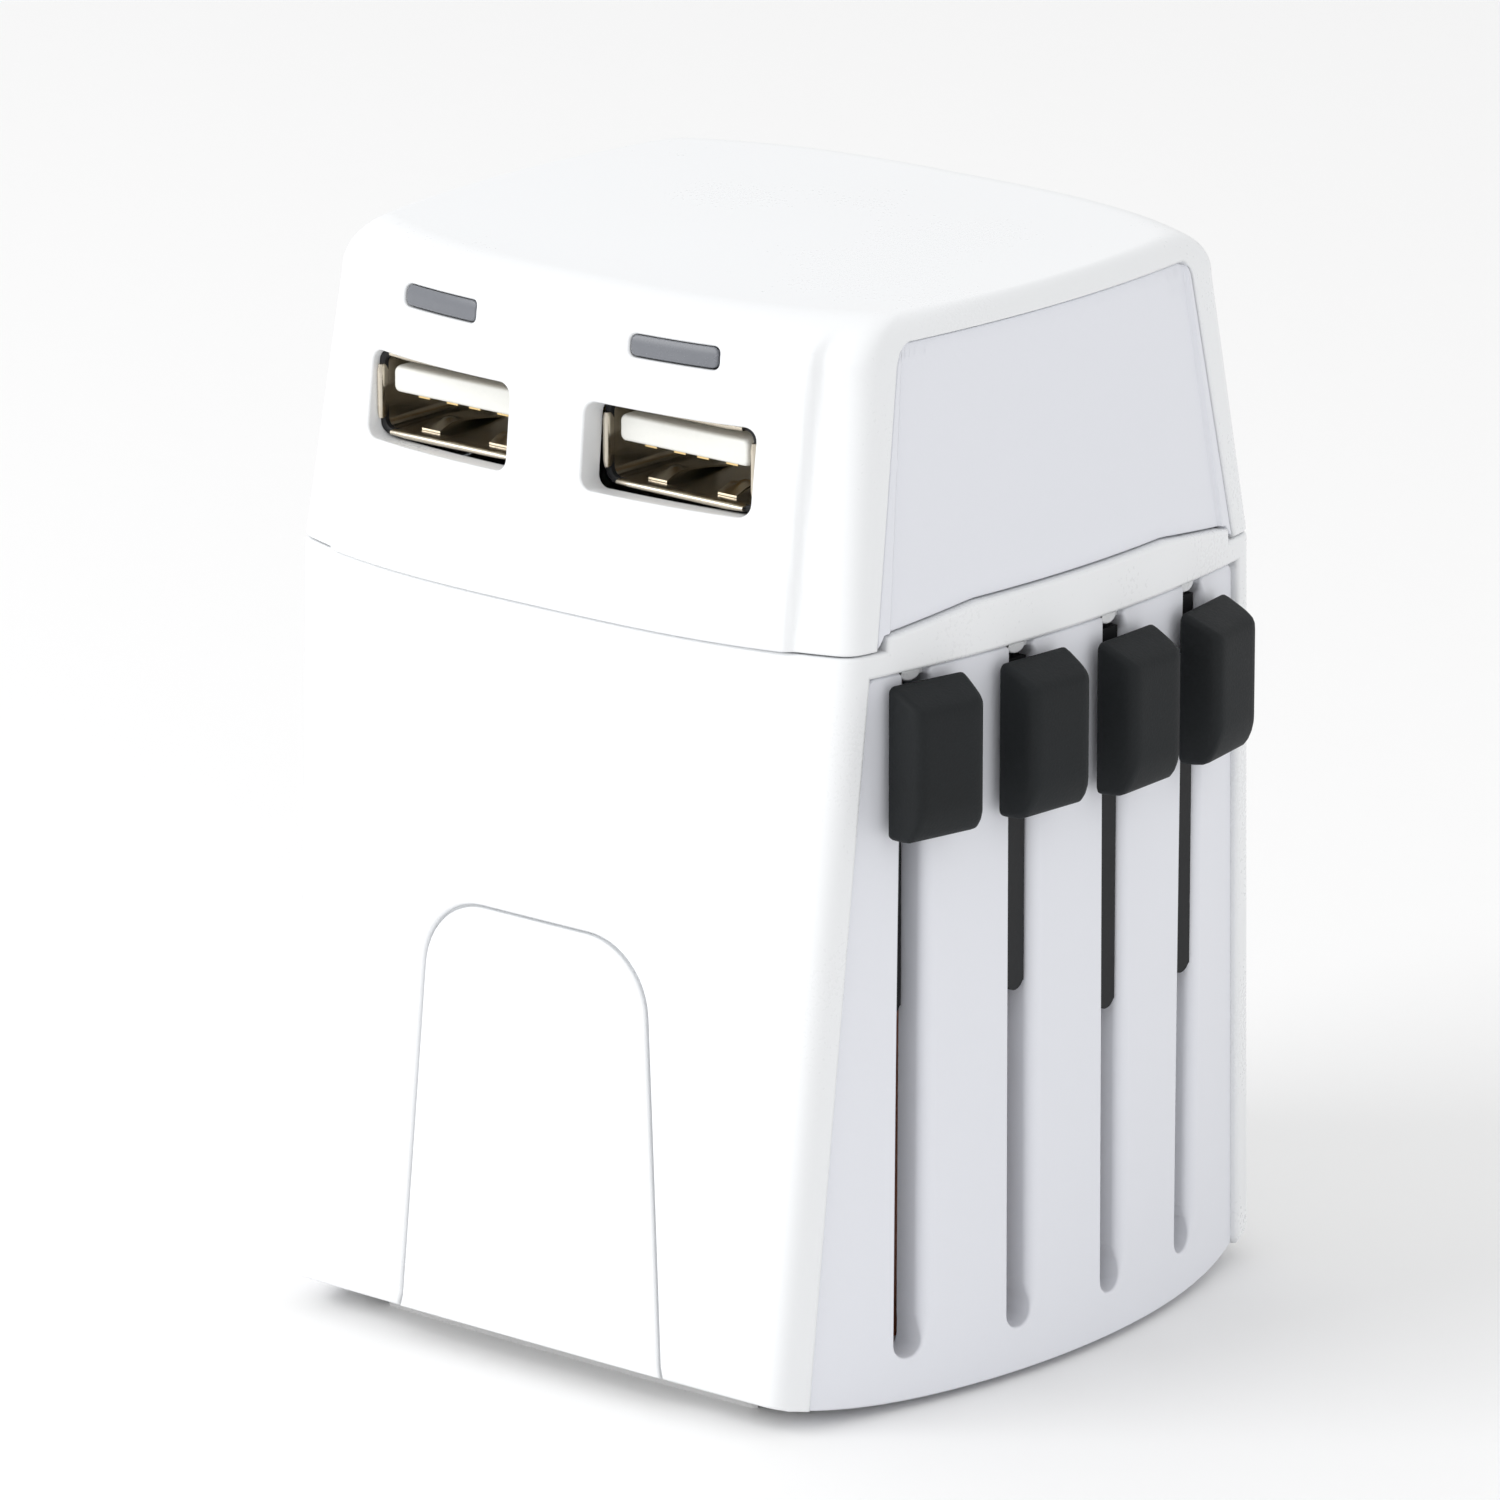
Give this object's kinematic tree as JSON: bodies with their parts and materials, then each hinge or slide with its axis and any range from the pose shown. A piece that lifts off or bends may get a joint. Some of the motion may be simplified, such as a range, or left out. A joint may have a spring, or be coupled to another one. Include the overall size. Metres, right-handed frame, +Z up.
{
  "type": "universal travel adapter",
  "caption": "White barrel-sided travel adapter with black side sliders that push out plug pins for different countries, topped by a lift-off USB charger module.",
  "frame": {"origin": "centre of the flat foot that the adapter stands on", "axes": "+Z up through the USB module, +X towards the side with the slider buttons, -Y towards the USB ports"},
  "size_m": [0.056, 0.052, 0.075],
  "materials": {
    "white_gloss": "satin gloss",
    "white_panel": "satin",
    "white_inner": "matte",
    "black_button": "fine texture",
    "black_inner": "matte",
    "nickel": "polished",
    "brass": "satin",
    "copper": "satin",
    "steel": "satin",
    "ceramic": "gloss",
    "grey_window": "clear grey",
    "board_green": "satin",
    "winding_tape": "satin",
    "capacitor_sleeve": "gloss",
    "tongue_white": "satin"
  },
  "bodies": {
    "housing": {"lower_shell": "white_gloss", "slider_panel": "white_panel", "left_panel": "white_panel", "front_arch_cover": "white_gloss", "rear_arch_cover": "white_gloss", "base_plate": "white_inner", "socket_face": "white_inner", "socket_block": "black_inner", "live_socket_contact": "brass", "neutral_socket_contact": "brass", "live_rail": "copper", "neutral_rail": "copper", "guide_rods": "steel", "fuse": "ceramic", "fuse_clips": "brass", "body_screws": "steel"},
    "uk_plug": {"uk_button": "black_button", "uk_carriage": "black_inner", "uk_pins": "brass", "uk_earth_pin": "black_inner", "uk_contact_tabs": "copper"},
    "eu_plug": {"eu_button": "black_button", "eu_carriage": "black_inner", "eu_pins": "nickel", "eu_contact_tabs": "copper"},
    "us_plug": {"us_button": "black_button", "us_carriage": "black_inner", "us_blades": "brass", "us_contact_tabs": "copper"},
    "au_plug": {"au_button": "black_button", "au_carriage": "black_inner", "au_blades": "brass", "au_contact_tabs": "copper"},
    "usb_module": {"cap_shell": "white_gloss", "cap_right_panel": "white_panel", "cap_left_panel": "white_panel", "module_base": "white_inner", "module_blades": "brass", "circuit_board": "board_green", "transformer": "winding_tape", "capacitors": "capacitor_sleeve", "controller_chips": "black_inner", "left_usb_shell": "nickel", "right_usb_shell": "nickel", "left_usb_tongue": "tongue_white", "right_usb_tongue": "tongue_white", "left_usb_contacts": "brass", "right_usb_contacts": "brass", "left_light_window": "grey_window", "right_light_window": "grey_window", "status_leds": "tongue_white", "module_screws": "steel"}
  },
  "joints": [
    {"name": "uk_slide", "type": "slide", "parent": "housing", "child": "uk_plug", "axis": [0, 0, -1], "range_m": [0, 0.0235]},
    {"name": "eu_slide", "type": "slide", "parent": "housing", "child": "eu_plug", "axis": [0, 0, -1], "range_m": [0, 0.0235]},
    {"name": "us_slide", "type": "slide", "parent": "housing", "child": "us_plug", "axis": [0, 0, -1], "range_m": [0, 0.0199]},
    {"name": "au_slide", "type": "slide", "parent": "housing", "child": "au_plug", "axis": [0, 0, -1], "range_m": [0, 0.0199]},
    {"name": "module_lift", "type": "slide", "parent": "housing", "child": "usb_module", "axis": [0, 0, 1], "range_m": [0, 0.025]}
  ]
}
